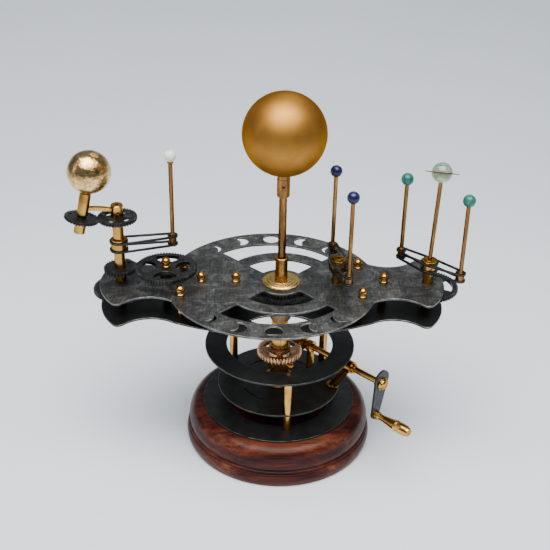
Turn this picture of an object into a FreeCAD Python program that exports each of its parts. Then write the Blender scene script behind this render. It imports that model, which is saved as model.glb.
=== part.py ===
import FreeCAD, Part
import math
import os
from FreeCAD import Placement, Rotation, Vector

# A hand-cranked table orrery on a turned wooden base. Millimetres, +Z up.
# The origin is the centre of the base's underside, on the axis of the mast that carries the sun.
# The turning frame ("cage") lies along X at rest, with the tellurion (earth and moon) on the -X arm.

# ---- the fixed stand -------------------------------------------------------------------------
BASE_RADIUS = 76.0
BASE_HEIGHT = 33.0
PLATE_THICKNESS = 1.5
BASE_PLATE_RADIUS = 62.0
BASE_PLATE_BORE = 42.2
MID_PLATE_RADIUS = 49.7
MID_PLATE_Z = 48.7
MID_PLATE_TOP = MID_PLATE_Z + PLATE_THICKNESS
RING_PLATE_RADIUS = 60.0
RING_PLATE_BORE = 42.6
RING_PLATE_Z = 85.3
MID_SLOT = (29.8, 31.6, 44.0)
MID_SLOT_STARTS = (23.0, 113.0, 203.0)
STAND_PILLAR_CIRCLE = 46.1
STAND_PILLAR_ANGLES = (-82.8, 36.0, 144.3)
STAND_PILLAR_RADIUS = 3.4
POST_RADIUS = 4.0
POST_DEPTH = 7.5
PILLAR_SPIGOT_DEPTH = 9.0
SPIGOT_RADIUS = 1.6
SPIGOT_HEIGHT = 2.4
RUNNING_CLEARANCE = 0.05

# ---- the mast and the sun --------------------------------------------------------------------
MAST_SLEEVE_RADIUS = 4.83
MAST_SLEEVE_Z = 141.2
MAST_SLEEVE_TOP = 165.0
MAST_ROD_RADIUS = 3.05
MAST_SPIGOT_HEIGHT = 7.0
MAST_ROD_TOP = 240.0
MAST_COLLAR_RADIUS = 4.9
MAST_COLLAR_Z = 216.8
MAST_COLLAR_TOP = 231.0
SUN_RADIUS = 31.2
SUN_Z = 265.8
SUN_WALL = 1.4

# ---- the turning frame -----------------------------------------------------------------------
CAGE_CENTRE_X = -6.7
LOWER_PLATE_Z = 122.7
UPPER_PLATE_Z = 141.4
LOWER_PLATE_TOP = LOWER_PLATE_Z + PLATE_THICKNESS
UPPER_PLATE_TOP = UPPER_PLATE_Z + PLATE_THICKNESS
CAGE_RIM_RADIUS = 82.5
CAGE_RIM_END_ANGLE = 21.3
LOWER_PLATE_HALF_WIDTH = 48.0
CAGE_WAIST = (95.0, 25.0)
CAGE_CORNER = (117.2, 39.0)
CAGE_CORNER_ROUND = 5.0
CAGE_HALF_LENGTH = 134.0
COLUMN_RADIUS = 7.0
COLUMN_STEP_Z = 84.5
HUB_RADIUS = 19.5
HUB_DISC_RADIUS = 14.6
CAGE_PILLARS = ((-77.2, 21.8), (-77.2, -21.8), (61.7, 23.1), (61.7, -23.1))
CAGE_PILLAR_RADIUS = 3.0
LOWER_NUT_HEIGHT = 2.4
WINDOW_HALF_ANGLE = 45.0
INNER_WINDOW_RADIUS = 36.5
OUTER_WINDOW_RADIUS = 48.0
OUTER_WINDOW_EDGE = 62.5
LOWER_WINDOW_CORNER = (24.6, 27.0)
LOWER_WINDOW_INNER = 19.0
PHASE_CIRCLE = 72.3
PHASE_RADIUS = 6.75
PHASE_STEP = 21.0
PHASE_SHIFTS = (6.75, 3.0)

# ---- wheelwork -------------------------------------------------------------------------------
MODULE = 0.75
PRESSURE_ANGLE = 20.0
BACKLASH = 0.14
GEAR_THICKNESS = 3.0
LEVEL_A = 134.5
LEVEL_B = 138.1
LEVEL_TOP = 152.4
FIXED_TEETH_A = 56
FIXED_TEETH_B = 50
FIRST_IDLER_TEETH = 38
SECOND_IDLER_TEETH = 34
PINION_TEETH = 38
PARALLEL_TEETH = 56
DRIVE_TEETH = 62
MOON_TEETH = 32
TILT_DRIVE_TEETH = 38
TILTED_TEETH = 33
BLUE_TEETH = 67
RIGHT_IDLER_TEETH = 30
GREEN_TEETH = 62

# ---- arbors, links and rods ------------------------------------------------------------------
ARBOR_RADIUS = 4.1
SHAFT_RADIUS = 2.5
PIVOT_RADIUS = 1.5
STUD_RADIUS = 2.0
THIRD_ARBOR_RADIUS = 3.0
LINK_THICKNESS = 1.5
LINK_HUB_RADIUS = 7.2
LINK_END_RADIUS = 4.1
LINK_BAR = 1.5
SPACER_RADIUS = 6.0
ROD_RADIUS = 1.65
ROD_TIP_RADIUS = 0.9
ROD_TIP_LENGTH = 2.4
BUSH_RADIUS = 3.1
BLUE_ARBOR_TOP = 164.5
GREEN_ARBOR_TOP = 164.0
SOCKET_DEPTH = 9.0
PLANET_LINK_TOPS = (156.0, 162.0)
MOON_LINK_TOPS = (171.3, 178.2)
MOON_ARM = (41.5, 14.2)
BLUE_ARMS = ((28.4, 95.2), (24.6, -75.5))
BLUE_BALL_HEIGHTS = (224.6, 226.7)
BLUE_BALL_RADIUS = 4.75
GREEN_ARMS = ((28.1, 133.8), (27.5, -39.8))
GREEN_BALL_HEIGHTS = (222.0, 222.0)
GREEN_BALL_RADIUS = 4.9
GLASS_ROD_LEAN = 1.9
GLASS_BALL_Z = 236.6
GLASS_BALL_RADIUS = 7.85
BALL_RING_RADIUS = 13.0
BALL_RING_THICKNESS = 0.8
BALL_RING_TILT = (22.5, 4.0)
MOON_BALL_Z = 243.3
MOON_BALL_RADIUS = 4.5
MOON_CUP_RADIUS = 2.5

# ---- the tilted spindle of the globe ---------------------------------------------------------
EARTH_SHAFT_TOP = 206.4
EARTH_ARM_BOTTOM = 202.6
EARTH_ARM_TOP = 205.4
EARTH_ARM_CLIMB = 3.4
EARTH_ARM_RISE = 0.9
EARTH_ARM_WIDTH = 3.4
AXIS_TILT = 12.3
TELLURION_TURN = 15.7
TILT_DRIVE_TOP = 198.8
TILT_GEAR_THICKNESS = 2.2
TILT_EXTRA_DISTANCE = 0.3
TILT_TUBE_RADIUS = 4.25
TILT_TUBE_START = 3.4
TILT_TUBE_END = 20.7
SPINDLE_RADIUS = 1.75
SPINDLE_STUB_END = -11.6
GLOBE_DISTANCE = 37.4
GLOBE_RADIUS = 16.4
SPINDLE_TOP = GLOBE_DISTANCE - GLOBE_RADIUS + 6.0

# ---- the worm drive and the crank ------------------------------------------------------------
WORM_MODULE = 0.9
WORM_WHEEL_TEETH = 38
WORM_WHEEL_THICKNESS = 4.0
WORM_PITCH_RADIUS = 5.8
WORM_TIP_RADIUS = 6.5
WORM_ROOT_RADIUS = 4.7
WORM_TURNS = 5
CRANK_Z = 78.8
CRANK_HEADING = -45.0
CRANK_LEAN = -10.0
CRANK_SHAFT_RADIUS = 2.5
CRANK_SHAFT_START = -19.0
CRANK_SHAFT_END = 88.7
CRANK_ARM_START = 86.1
CRANK_ARM_THICKNESS = 2.0
CRANK_ARM_END = CRANK_ARM_START + CRANK_ARM_THICKNESS
CRANK_ARM_TOP = 3.3
CRANK_THROW = 27.4
CRANK_PIN_RADIUS = 1.5
CRANK_PIN_LENGTH = 30.0
INNER_BEARINGS = (-13.5, 13.5)
OUTER_BEARING = 54.5
OUTER_BEARING_LENGTH = 8.0
BRACKET_FOOT = (43.3, -9.0)
COLLAR_Z = 63.4
COLLAR_HEIGHT = 10.8
COLLAR_FLUTES = 30
COLLAR_RADII = (8.9, 8.3)
CLAMP_ANGLE = -42.0
CLAMP_Z = 69.0


def point(radius, angle, z=0.0, centre=(0.0, 0.0)):
    """A point at a polar position about a centre."""
    turn = math.radians(angle)
    return Vector(centre[0] + radius * math.cos(turn), centre[1] + radius * math.sin(turn), z)


def rod(radius, z_low, z_high, x=0.0, y=0.0):
    """An upright cylinder."""
    return Part.makeCylinder(radius, z_high - z_low, Vector(x, y, z_low))


def tube(outer, inner, z_low, z_high, x=0.0, y=0.0):
    """An upright cylinder with a bore right through it."""
    return rod(outer, z_low, z_high, x, y).cut(rod(inner, z_low - 1, z_high + 1, x, y))


def turned(profile, x=0.0, y=0.0):
    """A turned solid about the upright line through (x, y), from (radius, z) corners."""
    corners = [Vector(radius, 0, z) for radius, z in profile]
    face = Part.Face(Part.makePolygon(corners + [corners[0]]))
    solid = face.revolve(Vector(0, 0, 0), Vector(0, 0, 1), 360)
    solid.translate(Vector(x, y, 0))
    return solid


def circle(radius, x=0.0, y=0.0):
    """A flat circular wire at z = 0."""
    return Part.Wire(Part.makeCircle(radius, Vector(x, y, 0)))


def arc(start, middle, end):
    """An arc edge through three points."""
    return Part.Arc(start, middle, end).toShape()


def line(start, end):
    """A straight edge."""
    return Part.makeLine(start, end)


def plate(outline, holes, z_low, thickness):
    """A flat plate of one outline with holes right through it."""
    face = Part.makeFace([outline] + list(holes), "Part::FaceMakerBullseye")
    face.translate(Vector(0, 0, z_low))
    return face.extrude(Vector(0, 0, thickness))


def annular_sector(inner, outer, start, end, x=0.0, y=0.0):
    """A closed wire bounded by two arcs and two radial lines about (x, y)."""
    centre = (x, y)
    middle = (start + end) / 2
    corners = [point(radius, angle, 0, centre)
               for radius, angle in ((inner, start), (outer, start), (outer, end), (inner, end))]
    return Part.Wire([
        line(corners[0], corners[1]),
        arc(corners[1], point(outer, middle, 0, centre), corners[2]),
        line(corners[2], corners[3]),
        arc(corners[3], point(inner, middle, 0, centre), corners[0]),
    ])


def group(solids):
    """Several separate solids kept as one node."""
    return Part.makeCompound(list(solids))


def save(name, shape):
    """Write one node after making sure that it is sound."""
    if not shape.isValid() or not shape.Solids:
        raise RuntimeError(name + " is not a sound solid")
    shape.exportStep("parts/" + name + ".step")


# ---- gear teeth ------------------------------------------------------------------------------
def involute(radius, base_radius):
    """The involute function of the pressure angle at a radius."""
    pressure = math.acos(min(1.0, base_radius / radius))
    return math.tan(pressure) - pressure


def gear_outline(teeth, module, phase, x=0.0, y=0.0, addendum=1.0, backlash=BACKLASH):
    """The outline of an involute gear, with the middle of one tooth at the angle phase, in degrees."""
    pitch_radius = teeth * module / 2
    base_radius = pitch_radius * math.cos(math.radians(PRESSURE_ANGLE))
    root_radius = pitch_radius - 1.25 * module
    tip_radius = pitch_radius + addendum * module
    low_radius = max(base_radius, root_radius + 0.1 * module)
    half_at_pitch = math.pi / (2 * teeth) - backlash / (2 * pitch_radius)
    half_at_base = half_at_pitch + involute(pitch_radius, base_radius)
    flank = [(root_radius, half_at_base - involute(low_radius, base_radius))]
    for step in range(4):
        radius = low_radius + (tip_radius - low_radius) * step / 3
        flank.append((radius, half_at_base - involute(radius, base_radius)))
    corners = []
    for tooth in range(teeth):
        middle = math.radians(phase) + 2 * math.pi * tooth / teeth
        for radius, half in flank:
            corners.append(point(radius, math.degrees(middle - half), 0, (x, y)))
        for radius, half in reversed(flank):
            corners.append(point(radius, math.degrees(middle + half), 0, (x, y)))
    return Part.makePolygon(corners + [corners[0]])


def meshing_phase(driver_teeth, driver_phase, follower_teeth, direction, module=MODULE):
    """The tooth angle that puts a follower, placed in this direction from its driver, in mesh."""
    pitch = math.pi * module
    driver_radius = driver_teeth * module / 2
    follower_radius = follower_teeth * module / 2
    offset = math.radians(direction - driver_phase) * driver_radius
    return direction + 180.0 - math.degrees((pitch / 2 - offset) / follower_radius)


def gear(teeth, phase, z_low, x, bore, openings=(), thickness=GEAR_THICKNESS, addendum=1.0):
    """A flat spur gear on the centre line of the frame, with its bore and its crossings."""
    outline = gear_outline(teeth, MODULE, phase, x, 0.0, addendum)
    return plate(outline, [circle(bore, x, 0.0)] + list(openings), z_low, thickness)


def crossings(inner, outer, count, arm_angle, first_arm, x=0.0, y=0.0):
    """The openings between the arms of a crossed-out wheel."""
    step = 360.0 / count
    return [annular_sector(inner, outer, first_arm + step * i + arm_angle / 2,
                           first_arm + step * (i + 1) - arm_angle / 2, x, y)
            for i in range(count)]


def round_openings(radius, circle_radius, count, first, x=0.0, y=0.0):
    """A ring of round holes."""
    centres = [point(circle_radius, first + 360.0 * i / count, 0, (x, y)) for i in range(count)]
    return [circle(radius, centre.x, centre.y) for centre in centres]


def scalloped_openings(rim, reach, radius, count, first, x):
    """Crossings cut as discs of this radius, centred at the reach, that stop at the rim."""
    half = math.degrees(math.acos((rim ** 2 + reach ** 2 - radius ** 2) / (2 * rim * reach)))
    wires = []
    for i in range(count):
        middle = first + 360.0 * i / count
        start, end = (point(rim, middle + side * half, 0, (x, 0)) for side in (-1, 1))
        wires.append(Part.Wire([arc(start, point(rim, middle, 0, (x, 0)), end),
                                arc(end, point(reach - radius, middle, 0, (x, 0)), start)]))
    return wires


def pitch_radius(teeth):
    """The pitch radius of a gear of the common module."""
    return teeth * MODULE / 2


# ---- places along the two trains, worked out from the tooth counts ---------------------------
FIRST_IDLER_X = -(pitch_radius(FIXED_TEETH_A) + pitch_radius(FIRST_IDLER_TEETH))
SECOND_IDLER_X = FIRST_IDLER_X - pitch_radius(FIRST_IDLER_TEETH) - pitch_radius(SECOND_IDLER_TEETH)
THIRD_ARBOR_X = SECOND_IDLER_X - pitch_radius(SECOND_IDLER_TEETH) - pitch_radius(PINION_TEETH)
EARTH_X = THIRD_ARBOR_X - pitch_radius(PINION_TEETH) - pitch_radius(PARALLEL_TEETH)
BLUE_X = pitch_radius(FIXED_TEETH_B) + pitch_radius(BLUE_TEETH)
RIGHT_IDLER_X = BLUE_X + pitch_radius(BLUE_TEETH) + pitch_radius(RIGHT_IDLER_TEETH)
GREEN_X = RIGHT_IDLER_X + pitch_radius(RIGHT_IDLER_TEETH) + pitch_radius(GREEN_TEETH)
STUD_XS = (FIRST_IDLER_X, SECOND_IDLER_X, RIGHT_IDLER_X)
PIVOT_XS = (THIRD_ARBOR_X, EARTH_X, BLUE_X, GREEN_X)

LEFT = 180.0
RIGHT = 0.0
FIXED_PHASE = 0.0
FIRST_IDLER_PHASE = meshing_phase(FIXED_TEETH_A, FIXED_PHASE, FIRST_IDLER_TEETH, LEFT)
SECOND_IDLER_PHASE = meshing_phase(FIRST_IDLER_TEETH, FIRST_IDLER_PHASE, SECOND_IDLER_TEETH, LEFT)
PINION_PHASE = meshing_phase(SECOND_IDLER_TEETH, SECOND_IDLER_PHASE, PINION_TEETH, LEFT)
PARALLEL_PHASE = meshing_phase(PINION_TEETH, PINION_PHASE, PARALLEL_TEETH, LEFT)
DRIVE_PHASE = 0.0
MOON_PHASE = meshing_phase(DRIVE_TEETH, DRIVE_PHASE, MOON_TEETH, LEFT)
BLUE_PHASE = meshing_phase(FIXED_TEETH_B, FIXED_PHASE, BLUE_TEETH, RIGHT)
RIGHT_IDLER_PHASE = meshing_phase(BLUE_TEETH, BLUE_PHASE, RIGHT_IDLER_TEETH, RIGHT)
GREEN_PHASE = meshing_phase(RIGHT_IDLER_TEETH, RIGHT_IDLER_PHASE, GREEN_TEETH, RIGHT)
TILT_DRIVE_PHASE = 0.0
TILTED_PHASE = meshing_phase(TILT_DRIVE_TEETH, TILT_DRIVE_PHASE, TILTED_TEETH, LEFT)

# ---- the worm axis: its nearest point to the column, and the way it runs ----------------------
WORM_WHEEL_RADIUS = WORM_WHEEL_TEETH * WORM_MODULE / 2
WORM_DISTANCE = WORM_WHEEL_RADIUS + WORM_PITCH_RADIUS
WORM_LEAD = math.pi * WORM_MODULE
WORM_AZIMUTH = CRANK_HEADING + 90.0
CRANK_ORIGIN = point(WORM_DISTANCE, WORM_AZIMUTH, CRANK_Z)
CRANK_WAY = point(1.0, CRANK_HEADING)
CRANK_SIDE = CRANK_WAY.cross(Vector(0, 0, 1))
CRANK_FRAME = Placement(CRANK_ORIGIN, Rotation(Vector(0, 0, 1), CRANK_SIDE, CRANK_WAY, "ZXY"))


def on_crank(shape):
    """Move a shape built about Z (with X standing for up) onto the crank's axis."""
    moved = shape.copy()
    moved.Placement = CRANK_FRAME.multiply(moved.Placement)
    return moved


def on_crank_arm(shape):
    """Move a shape built about Z onto the crank's axis, leaning as the arm does at rest."""
    moved = shape.copy()
    moved.rotate(Vector(0, 0, 0), Vector(0, 0, 1), CRANK_LEAN)
    return on_crank(moved)


# ---- the tilted axis: its gear just meshes with the drive gear below the arm -------------------
TILT_DRIVE_Z = TILT_DRIVE_TOP - GEAR_THICKNESS / 2
TILT_REACH = pitch_radius(TILTED_TEETH) + TILT_EXTRA_DISTANCE
TILT_MESH_X = EARTH_X - pitch_radius(TILT_DRIVE_TEETH)
TILT_X = TILT_MESH_X - TILT_REACH * math.cos(math.radians(AXIS_TILT))
TILT_Z = TILT_DRIVE_Z + TILT_REACH * math.sin(math.radians(AXIS_TILT))
TILT_FRAME = Placement(Vector(TILT_X, 0, TILT_Z), Rotation(Vector(0, 1, 0), AXIS_TILT))


def straight_tilt(shape):
    """Move a shape built about Z onto the tilted axis while that still lies over the X axis."""
    moved = shape.copy()
    moved.Placement = TILT_FRAME.multiply(moved.Placement)
    return moved


def on_tilt(shape):
    """Move a shape built about Z onto the tilted axis, its origin at the tilted gear's centre."""
    return turn_tellurion(straight_tilt(shape))


# ==== the stand ===============================================================================
def wooden_base():
    """The turned base: a low plinth, a thin bead between two quirks and one broad rounded shoulder."""
    r = BASE_RADIUS
    edges = [
        line(Vector(0, 0, 0), Vector(r - 1.6, 0, 0)),
        arc(Vector(r - 1.6, 0, 0), Vector(r, 0, 5.4), Vector(r - 1.2, 0, 10.8)),
        line(Vector(r - 1.2, 0, 10.8), Vector(r - 2.4, 0, 11.2)),
        arc(Vector(r - 2.4, 0, 11.2), Vector(r - 1.7, 0, 12.2), Vector(r - 2.4, 0, 13.2)),
        line(Vector(r - 2.4, 0, 13.2), Vector(r - 3.2, 0, 13.5)),
        arc(Vector(r - 3.2, 0, 13.5), Vector(r - 2.2, 0, 18.6), Vector(r - 3.0, 0, 23.6)),
        arc(Vector(r - 3.0, 0, 23.6), Vector(r - 6.2, 0, 30.2), Vector(r - 13.0, 0, BASE_HEIGHT)),
        line(Vector(r - 13.0, 0, BASE_HEIGHT), Vector(0, 0, BASE_HEIGHT)),
        line(Vector(0, 0, BASE_HEIGHT), Vector(0, 0, 0)),
    ]
    body = Part.Face(Part.Wire(edges)).revolve(Vector(0, 0, 0), Vector(0, 0, 1), 360)
    body = body.cut(rod(POST_RADIUS, BASE_HEIGHT - POST_DEPTH - 0.5, BASE_HEIGHT + 1.0))
    for angle in STAND_PILLAR_ANGLES:
        place = point(STAND_PILLAR_CIRCLE, angle)
        bottom = BASE_HEIGHT - PILLAR_SPIGOT_DEPTH - 1.0
        body = body.cut(rod(SPIGOT_RADIUS, bottom, BASE_HEIGHT + 1.0, place.x, place.y))
    return body


def pillar_holes(radius):
    """The holes for the three stand pillars."""
    places = [point(STAND_PILLAR_CIRCLE, angle) for angle in STAND_PILLAR_ANGLES]
    return [circle(radius, place.x, place.y) for place in places]


def base_plate():
    """The steel ring on the base's flat top."""
    holes = [circle(BASE_PLATE_BORE)] + pillar_holes(SPIGOT_RADIUS)
    return plate(circle(BASE_PLATE_RADIUS), holes, BASE_HEIGHT, PLATE_THICKNESS)


def mid_plate():
    """The steel disc that carries the worm drive, with three thin curved slots."""
    inner, outer, sweep = MID_SLOT
    slots = [annular_sector(inner, outer, start, start + sweep) for start in MID_SLOT_STARTS]
    holes = [circle(POST_RADIUS)] + pillar_holes(SPIGOT_RADIUS) + slots
    return plate(circle(MID_PLATE_RADIUS), holes, MID_PLATE_Z, PLATE_THICKNESS)


def ring_plate():
    """The wide steel ring round the column."""
    holes = [circle(RING_PLATE_BORE)] + pillar_holes(SPIGOT_RADIUS)
    return plate(circle(RING_PLATE_RADIUS), holes, RING_PLATE_Z, PLATE_THICKNESS)


def stand_pillars():
    """Three lower posts, screwed into the wood, and three upper posts above the mid plate."""
    base_top = BASE_HEIGHT + PLATE_THICKNESS
    screw_end = BASE_HEIGHT - PILLAR_SPIGOT_DEPTH
    ring_top = RING_PLATE_Z + PLATE_THICKNESS
    lower = [(0, screw_end), (SPIGOT_RADIUS, screw_end), (SPIGOT_RADIUS, base_top),
             (STAND_PILLAR_RADIUS, base_top), (STAND_PILLAR_RADIUS, MID_PLATE_Z), (0, MID_PLATE_Z)]
    upper = [(0, MID_PLATE_Z), (SPIGOT_RADIUS, MID_PLATE_Z), (SPIGOT_RADIUS, MID_PLATE_TOP),
             (STAND_PILLAR_RADIUS, MID_PLATE_TOP), (STAND_PILLAR_RADIUS, RING_PLATE_Z),
             (SPIGOT_RADIUS, RING_PLATE_Z), (SPIGOT_RADIUS, ring_top), (0, ring_top)]
    posts = []
    for angle in STAND_PILLAR_ANGLES:
        place = point(STAND_PILLAR_CIRCLE, angle)
        posts += [turned(lower, place.x, place.y), turned(upper, place.x, place.y)]
    return group(posts)


def centre_post():
    """The fixed steel post inside the turning column, with a spigot for the mast sleeve."""
    low = BASE_HEIGHT - POST_DEPTH
    spigot_top = MAST_SLEEVE_Z + MAST_SPIGOT_HEIGHT
    return turned([(0, low), (POST_RADIUS, low), (POST_RADIUS, MAST_SLEEVE_Z),
                   (MAST_ROD_RADIUS, MAST_SLEEVE_Z), (MAST_ROD_RADIUS, spigot_top), (0, spigot_top)])


def column_bearing():
    """The flanged bush on the mid plate that the column turns in."""
    bore = COLUMN_RADIUS + RUNNING_CLEARANCE
    low = MID_PLATE_TOP
    return turned([(bore, low), (14.0, low), (14.0, low + 1.6), (9.6, low + 2.2),
                   (9.6, low + 5.4), (8.8, low + 6.0), (bore, low + 6.0)])


def fixed_gears():
    """The two fixed wheels on the post, between the plates of the cage, that both trains roll on."""
    arms = crossings(8.5, 17.4, 4, 16.0, 0.0)
    lower = gear(FIXED_TEETH_A, FIXED_PHASE, LEVEL_A, 0.0, POST_RADIUS, arms)
    lower = lower.fuse(tube(6.5, POST_RADIUS, LEVEL_A - 1.4, LEVEL_A + 0.5))
    arms = crossings(8.5, 16.2, 4, 20.0, 0.0)
    upper = gear(FIXED_TEETH_B, FIXED_PHASE, LEVEL_B, 0.0, POST_RADIUS, arms)
    upper = upper.fuse(tube(6.5, POST_RADIUS, LEVEL_A + GEAR_THICKNESS, LEVEL_B + 0.5))
    return group([lower, upper])


def mast_sleeve():
    """The brass sleeve at the foot of the mast, with a rim at its top."""
    bore, low, top = MAST_ROD_RADIUS, MAST_SLEEVE_Z, MAST_SLEEVE_TOP
    body = MAST_SLEEVE_RADIUS
    rim = body + 0.5
    return turned([(bore, low), (body, low), (body, top - 2.2), (rim, top - 1.6), (rim, top - 0.4),
                   (body, top), (bore, top)])


def mast_rod():
    """The long brass rod from the sleeve up into the sun."""
    return rod(MAST_ROD_RADIUS, MAST_SLEEVE_Z + MAST_SPIGOT_HEIGHT, MAST_ROD_TOP)


def mast_collar():
    """The collar under the sun, with a side hole for its set screw."""
    body = tube(MAST_COLLAR_RADIUS, MAST_ROD_RADIUS, MAST_COLLAR_Z, MAST_COLLAR_TOP)
    start = Vector(0, -MAST_ROD_RADIUS - 0.4, MAST_COLLAR_Z + 9.0)
    return body.cut(Part.makeCylinder(1.2, 6.0, start, Vector(0, -1, 0)))


def sun_ball():
    """The hollow sun, open only where the rod goes in."""
    centre = Vector(0, 0, SUN_Z)
    shell = Part.makeSphere(SUN_RADIUS, centre).cut(Part.makeSphere(SUN_RADIUS - SUN_WALL, centre))
    return shell.cut(rod(MAST_ROD_RADIUS, SUN_Z - SUN_RADIUS - 1.0, SUN_Z - 10.0))


def crank_bearings():
    """Two posts either side of the worm and the leaning outer bracket, bored for the crank shaft."""
    low = MID_PLATE_TOP
    bore = on_crank(rod(CRANK_SHAFT_RADIUS + RUNNING_CLEARANCE, CRANK_SHAFT_START - 10.0, CRANK_ARM_START))
    bearings = []
    for along in INNER_BEARINGS:
        place = CRANK_ORIGIN + CRANK_WAY * along
        post = turned([(0, low), (4.6, low), (4.6, low + 1.5), (3.2, low + 2.2), (3.2, CRANK_Z - 4.0),
                       (0, CRANK_Z - 4.0)], place.x, place.y)
        barrel = on_crank(rod(4.6, along - 2.5, along + 2.5))
        bearings.append(post.fuse(barrel).cut(bore))
    foot = Vector(BRACKET_FOOT[0], BRACKET_FOOT[1], low)
    head = CRANK_ORIGIN + CRANK_WAY * OUTER_BEARING
    lean = head - foot
    strut = Part.makeCylinder(3.4, lean.Length, foot, lean)
    pad = rod(5.0, low, low + 2.4, foot.x, foot.y)
    strut = strut.cut(Part.makeBox(30, 30, 10, Vector(foot.x - 15, foot.y - 15, low - 10)))
    half = OUTER_BEARING_LENGTH / 2
    barrel = on_crank(rod(5.0, OUTER_BEARING - half, OUTER_BEARING + half))
    bearings.append(strut.fuse(pad).fuse(barrel).cut(bore))
    return group(bearings)


# ==== the cage ================================================================================
def cage_outline(half_width):
    """A cage plate's outline: a broad arc front and back, and a waisted, flared arm each way along X."""
    x0 = CAGE_CENTRE_X

    def mirrored(x, y, x_side, y_side):
        return Vector(x0 + x_side * x, y_side * y, 0)

    joint = point(CAGE_RIM_RADIUS, CAGE_RIM_END_ANGLE)
    edges = []
    for side in (-1, 1):
        edges.append(arc(mirrored(joint.x, joint.y, -1, side), mirrored(0, half_width, 1, side),
                         mirrored(joint.x, joint.y, 1, side)))
        edges.append(arc(mirrored(*CAGE_CORNER, side, 1), mirrored(CAGE_HALF_LENGTH, 0, side, 1),
                         mirrored(*CAGE_CORNER, side, -1)))
        for other in (-1, 1):
            edges.append(arc(mirrored(joint.x, joint.y, side, other), mirrored(*CAGE_WAIST, side, other),
                             mirrored(*CAGE_CORNER, side, other)))
    return Part.Wire(Part.__sortEdges__(edges))


def ray_meets_circle(radius, centre_x, angle):
    """Where the ray from the mast axis at this angle meets a circle centred on (centre_x, 0)."""
    turn = math.radians(angle)
    reach = centre_x * math.cos(turn) + math.sqrt(radius ** 2 - (centre_x * math.sin(turn)) ** 2)
    return point(reach, angle)


def upper_windows():
    """The upper plate's four windows: an inner and an outer one, front and back, with radial ends."""
    wires = []
    for middle in (-90.0, 90.0):
        angles = [middle - WINDOW_HALF_ANGLE, middle, middle + WINDOW_HALF_ANGLE]
        wires.append(annular_sector(HUB_RADIUS, INNER_WINDOW_RADIUS, angles[0], angles[2]))
        inner = [point(OUTER_WINDOW_RADIUS, angle) for angle in angles]
        outer = [ray_meets_circle(OUTER_WINDOW_EDGE, CAGE_CENTRE_X, angle) for angle in angles]
        wires.append(Part.Wire([line(inner[0], outer[0]), arc(*outer), line(outer[2], inner[2]),
                                arc(inner[2], inner[1], inner[0])]))
    return wires


def lower_windows():
    """The lower plate's two windows, front and back, each between two arcs that meet in points."""
    x, y = LOWER_WINDOW_CORNER
    wires = []
    for side in (-1, 1):
        corners = [Vector(-x, side * y, 0), Vector(x, side * y, 0)]
        wires.append(Part.Wire([arc(corners[0], Vector(0, side * INNER_WINDOW_RADIUS, 0), corners[1]),
                                arc(corners[1], Vector(0, side * LOWER_WINDOW_INNER, 0), corners[0])]))
    return wires


def moon_phase(angle, shift, towards):
    """A moon-phase cut-out: a disc less an equal disc moved away from the full moon by the shift."""
    centre = point(PHASE_CIRCLE, angle, 0, (CAGE_CENTRE_X, 0))
    across = point(1.0, angle) * math.sqrt(PHASE_RADIUS ** 2 - shift ** 2 / 4)
    along = point(1.0, angle + 90.0 * towards)
    tips = [centre + across - along * (shift / 2), centre - across - along * (shift / 2)]
    return Part.Wire([arc(tips[0], centre + along * PHASE_RADIUS, tips[1]),
                      arc(tips[1], centre + along * (PHASE_RADIUS - shift), tips[0])])


def cage_phases():
    """A full moon between two half-lit moons and two crescents, front and back, with small holes."""
    wires = []
    for middle in (-90.0, 90.0):
        full = point(PHASE_CIRCLE, middle, 0, (CAGE_CENTRE_X, 0))
        wires.append(circle(PHASE_RADIUS, full.x, full.y))
        for side in (-1, 1):
            for steps, shift in enumerate(PHASE_SHIFTS, 1):
                wires.append(moon_phase(middle + side * steps * PHASE_STEP, shift, -side))
                hole_angle = middle + side * (steps - 0.5) * PHASE_STEP
                hole = point(PHASE_CIRCLE + 1.2, hole_angle, 0, (CAGE_CENTRE_X, 0))
                wires.append(circle(1.1, hole.x, hole.y))
    return wires


def cage_plate(half_width, openings, z_low, pivots):
    """One of the two cage plates; pivots gives the (x, radius) of its holes along the centre line."""
    holes = openings + [circle(COLUMN_RADIUS)]
    holes += [circle(SPIGOT_RADIUS, x, y) for x, y in CAGE_PILLARS]
    holes += [circle(SPIGOT_RADIUS, x, 0) for x in STUD_XS]
    holes += [circle(radius, x, 0) for x, radius in pivots]
    body = plate(cage_outline(half_width), holes, z_low, PLATE_THICKNESS)
    reach = CAGE_CORNER[0] - 0.5
    corners = [edge for edge in body.Edges
               if edge.BoundBox.ZLength > PLATE_THICKNESS / 2
               and abs(edge.CenterOfMass.x - CAGE_CENTRE_X) > reach and abs(edge.CenterOfMass.y) > 1.0]
    return body.makeFillet(CAGE_CORNER_ROUND, corners)


def lower_plate():
    """The cage's lower plate, with the pivot holes of the four arbors."""
    pivots = [(x, PIVOT_RADIUS + RUNNING_CLEARANCE) for x in PIVOT_XS]
    return cage_plate(LOWER_PLATE_HALF_WIDTH, lower_windows(), LOWER_PLATE_Z, pivots)


def upper_plate():
    """The cage's upper plate, round in the middle, which the four arbors pass through."""
    radii = (THIRD_ARBOR_RADIUS, SHAFT_RADIUS, ARBOR_RADIUS, ARBOR_RADIUS)
    pivots = [(x, radius + RUNNING_CLEARANCE) for x, radius in zip(PIVOT_XS, radii)]
    return cage_plate(CAGE_RIM_RADIUS, upper_windows() + cage_phases(), UPPER_PLATE_Z, pivots)


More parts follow.
